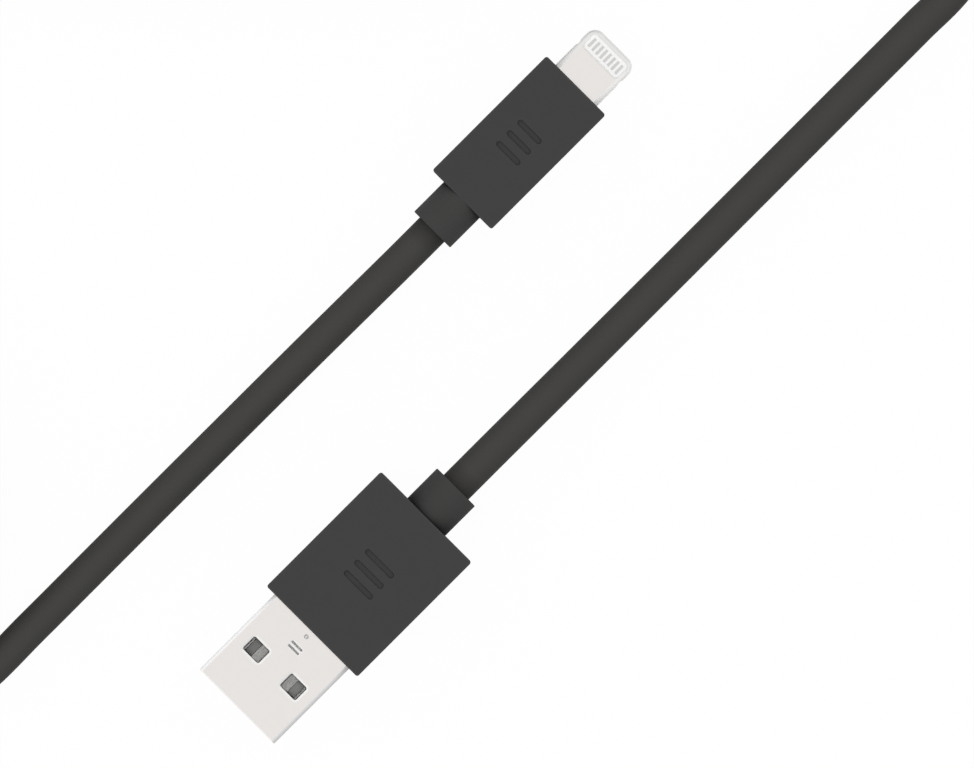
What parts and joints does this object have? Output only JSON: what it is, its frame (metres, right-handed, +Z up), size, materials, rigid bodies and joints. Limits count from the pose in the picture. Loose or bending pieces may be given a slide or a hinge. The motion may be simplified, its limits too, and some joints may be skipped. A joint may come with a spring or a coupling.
{
  "type": "charging cable",
  "caption": "Round charging cable with a flat host plug in a square housing, a thin reversible device plug in a slim housing, and its spare length wound into a coil.",
  "frame": {"origin": "middle of the underside of the host plug housing, on the surface that the cable lies on", "axes": "+Z up, away from the surface; the host plug lies along the line Y = X with its mouth towards -X -Y, and the device plug lies along Y = X + 32 mm with its blade towards +X +Y"},
  "size_m": [0.1695, 0.1185, 0.008],
  "materials": {
    "nickel_shell": "satin nickel plate on folded sheet",
    "nickel_blade": "satin nickel plate on a solid frame",
    "white_insulator": "smooth moulded white plastic",
    "contact_plating": "plated contact metal",
    "shield_steel": "plain tinned sheet",
    "inner_mould": "soft translucent filling plastic",
    "dark_housing": "fine matt moulded charcoal",
    "dark_collar": "fine matt moulded charcoal, slightly soft",
    "cable_jacket": "smooth matt extruded jacket",
    "braid": "tinned copper braid",
    "copper": "bare tinned copper strand",
    "wire_red": "extruded wire insulation",
    "wire_white": "extruded wire insulation",
    "wire_green": "extruded wire insulation",
    "wire_black": "extruded wire insulation",
    "circuit_board": "glass laminate with solder mask",
    "chip_resin": "moulded chip package",
    "capacitor_ceramic": "ceramic chip with tinned ends"
  },
  "bodies": {
    "root": {"host_shell": "nickel_shell", "host_insulator": "white_insulator", "host_contact_power": "contact_plating", "host_contact_data_minus": "contact_plating", "host_contact_data_plus": "contact_plating", "host_contact_ground": "contact_plating", "host_shield_upper": "shield_steel", "host_shield_lower": "shield_steel", "host_inner_mould": "inner_mould", "host_housing": "dark_housing", "host_strain_relief": "dark_collar", "host_wire_red": "wire_red", "host_wire_white": "wire_white", "host_wire_green": "wire_green", "host_wire_black": "wire_black", "host_wire_copper": "copper", "host_braid_end": "braid", "host_jacket_end": "cable_jacket", "device_blade": "nickel_blade", "device_contact_carrier": "white_insulator", "device_contacts_upper": "contact_plating", "device_contacts_lower": "contact_plating", "device_board": "circuit_board", "device_controller_chip": "chip_resin", "device_power_chip": "chip_resin", "device_capacitors": "capacitor_ceramic", "device_shield_upper": "shield_steel", "device_shield_lower": "shield_steel", "device_inner_mould": "inner_mould", "device_housing": "dark_housing", "device_strain_relief": "dark_collar", "device_wire_red": "wire_red", "device_wire_white": "wire_white", "device_wire_green": "wire_green", "device_wire_black": "wire_black", "device_wire_copper": "copper", "device_braid_end": "braid", "device_jacket_end": "cable_jacket", "cable_device_run": "cable_jacket", "cable_coil": "cable_jacket", "cable_host_run": "cable_jacket"}
  },
  "joints": []
}
